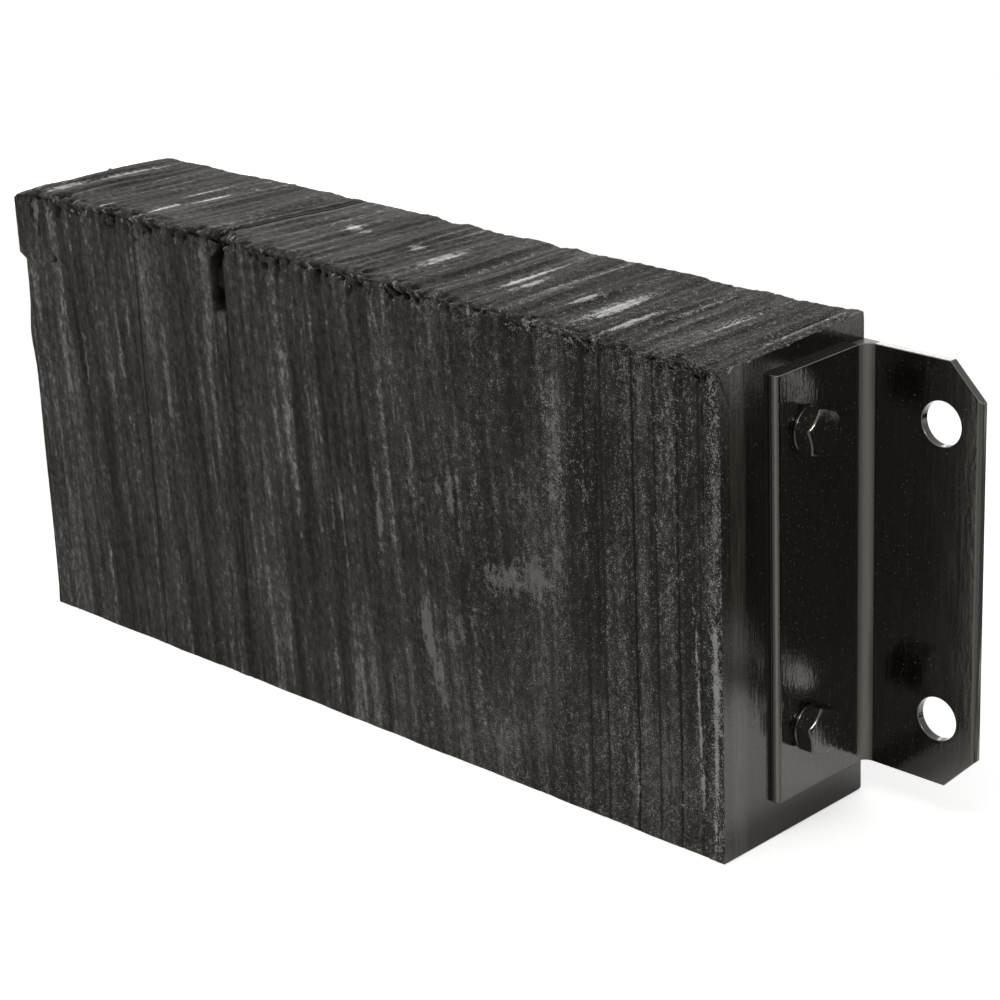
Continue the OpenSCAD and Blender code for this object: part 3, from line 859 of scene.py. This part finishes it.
# The cards: near and far side in X, blur of the near side, Y behind which a card is full, the share
# of it in front of that, and its back.
CARDS = ((0.440, 0.475, 0.004, 0.214, 0.5, 0.55), (0.690, 0.745, 0.018, 0.525, 0.0, 0.60))
CARD_BLUR, FULL_BLUR, FRONT_BLUR, BACK_BLUR = 0.004, 0.015, 0.02, 0.05
FAR_X, FAR_Y = (0.745, 0.765), (0.520, 0.540)
# The ground that the pads stand on, darkened as a painted contact shadow, and the nook beside the
# painted end, where painted shade dims the glow that mirrors see.
CONTACT_SHADOW_X, CONTACT_SHADOW_Y = (0.2735, 0.2755), (0.0535, 0.0555)
NOOK_LEFT, NOOK_RIGHT = (0.25, 0.27), (0.285, 0.315)
NOOK_FRONT, NOOK_BACK = (-0.075, -0.035), (0.05, 0.08)
SHADOW_SHARE, NOOK_SHADE = 0.42, 0.8
FRONT_GLOW, SIDE_GLOW = 0.45, 0.95


def rays(place):
    """What the camera sees by itself, and what it sees in a mirror or through glass."""
    path = place.node("ShaderNodeLightPath").socket.node.outputs
    mirrored = Shade(path["Is Glossy Ray"]).most(Shade(path["Is Transmission Ray"]))
    return Shade(path["Is Camera Ray"]), mirrored


floor_mesh = bpy.data.meshes.new("floor")
corners = ((-1, -1), (1, -1), (1, 1), (-1, 1))
floor_points = [(sx * FLOOR_HALF, sy * FLOOR_HALF, -FLOOR_DROP) for sx, sy in corners]
floor_mesh.from_pydata(floor_points, [], [(0, 1, 2, 3)])
floor = bpy.data.objects.new("floor", floor_mesh)
bpy.context.scene.collection.objects.link(floor)

floor_finish, floor_shader, place = finish(
    "pale_floor", {"Roughness": 0.9, "Specular IOR Level": 0.0, "Emission Strength": 1.0},
)
x, y = place.part("X").size(), place.part("Y")
in_front = 1 - y.rise(SHEET_WIDE_FROM - FRONT_BLUR, SHEET_WIDE_FROM + FRONT_BLUR)
side = 1 - x.rise(SHEET_HALF_X - CARD_BLUR, SHEET_HALF_X + CARD_BLUR)
cards = x.rise(*FAR_X) * y.rise(*FAR_Y)
for near_x, far_x, blur, full_from, share, card_back in CARDS:
    card = x.rise(near_x - blur, near_x + blur) * (1 - x.rise(far_x - CARD_BLUR, far_x + CARD_BLUR))
    card = card * (share + (1 - share) * y.rise(full_from - FULL_BLUR, full_from + FULL_BLUR))
    cards = cards.most(card * (1 - y.rise(card_back, card_back + BACK_BLUR)))
sheet = side.most(in_front) * (1 - y.rise(SHEET_BACK, SHEET_BACK + BACK_BLUR))
sheet = sheet.most(cards)
# A painted contact shadow under the stack, and painted shade in the nook.
painted_contact_shadow = (1 - x.rise(*CONTACT_SHADOW_X)) * (1 - y.size().rise(*CONTACT_SHADOW_Y))
nook_shade = x.rise(*NOOK_LEFT) * (1 - x.rise(*NOOK_RIGHT))
nook_shade = nook_shade * y.rise(*NOOK_FRONT) * (1 - y.rise(*NOOK_BACK))
seen, mirrored = rays(place)
mirror_glow = (FRONT_GLOW * in_front).most(SIDE_GLOW * side).most(cards) * (1 - NOOK_SHADE * nook_shade)
glow = (seen * (1 - SHADOW_SHARE * sheet) + mirrored * mirror_glow) * (1 - painted_contact_shadow)
feed(
    floor_shader,
    Base_Color=(sheet * (1 - painted_contact_shadow)).blend(STUDIO_DARK, SHEET_WHITE),
    Emission_Color=glow.blend((0, 0, 0), (1, 1, 1)),
)
floor_mesh.materials.append(floor_finish)


# Light. White studio walls stand all round, which light the bumper softly. A large soft lamp hangs
# above, a low strip stands behind, and a small one to the right shows only in the gloss of edges.
WALL_LIGHT = 0.5
MIDDLE = (0, 0, 0.13)

studio = bpy.data.worlds.new("studio")
studio.use_nodes = True
bpy.context.scene.world = studio
walls = studio.node_tree.nodes["Background"]
walls.inputs["Color"].default_value = (1, 1, 1, 1)
seen, mirrored = rays(Shade(walls.inputs["Color"]))
level = WALL_LIGHT + (1 - WALL_LIGHT) * seen.most(mirrored)
studio.node_tree.links.new(level.socket, walls.inputs["Strength"])


def lamp(name, place_m, width, height, watts, only_mirrored=False):
    """A soft rectangular lamp that stands there and faces the bumper."""
    light = bpy.data.lights.new(name, "AREA")
    light.shape = "RECTANGLE"
    light.size = width
    light.size_y = height
    light.energy = watts
    holder = bpy.data.objects.new(name, light)
    bpy.context.scene.collection.objects.link(holder)
    holder.location = place_m
    holder.rotation_euler = (Vector(MIDDLE) - Vector(place_m)).to_track_quat("-Z", "Y").to_euler()
    holder.visible_camera = False
    holder.visible_diffuse = not only_mirrored


lamp("overhead_softbox", (0.1, -0.7, 1.9), 1.6, 1.2, 16)
lamp("rear_strip", (-1.05, 1.15, 0.75), 1.1, 0.4, 5)
lamp("edge_light", (1.62, -0.72, 1.15), 0.38, 0.38, 46, only_mirrored=True)


# Camera. It stands in front of the bumper and to the right, looking a little down at it through a
# long lens, and is held a little out of level.
AZIMUTH, ELEVATION, ROLL = (math.radians(angle) for angle in (45.059, 20.662, -2.394))
DISTANCE, SLIDE_RIGHT, SLIDE_UP = 1.64073, 0.04701, -0.01442
AIM = Vector((0, 0, 0.1335))
LENS_MM, SENSOR_MM = 103.08, 36.0

back = Vector((
    math.sin(AZIMUTH) * math.cos(ELEVATION),
    -math.cos(AZIMUTH) * math.cos(ELEVATION),
    math.sin(ELEVATION),
))
level_right = Vector((math.cos(AZIMUTH), math.sin(AZIMUTH), 0))
level_up = back.cross(level_right)
right = math.cos(ROLL) * level_right + math.sin(ROLL) * level_up
up = math.cos(ROLL) * level_up - math.sin(ROLL) * level_right
eye = AIM + back * DISTANCE + right * SLIDE_RIGHT + up * SLIDE_UP
camera_data = bpy.data.cameras.new("camera")
camera_data.lens = LENS_MM
camera_data.sensor_width = SENSOR_MM
camera = bpy.data.objects.new("camera", camera_data)
bpy.context.scene.collection.objects.link(camera)
camera.matrix_world = Matrix((
    (right.x, up.x, back.x, eye.x),
    (right.y, up.y, back.y, eye.y),
    (right.z, up.z, back.z, eye.z),
    (0, 0, 0, 1),
))
bpy.context.scene.camera = camera
bpy.context.scene.view_settings.view_transform = "Standard"
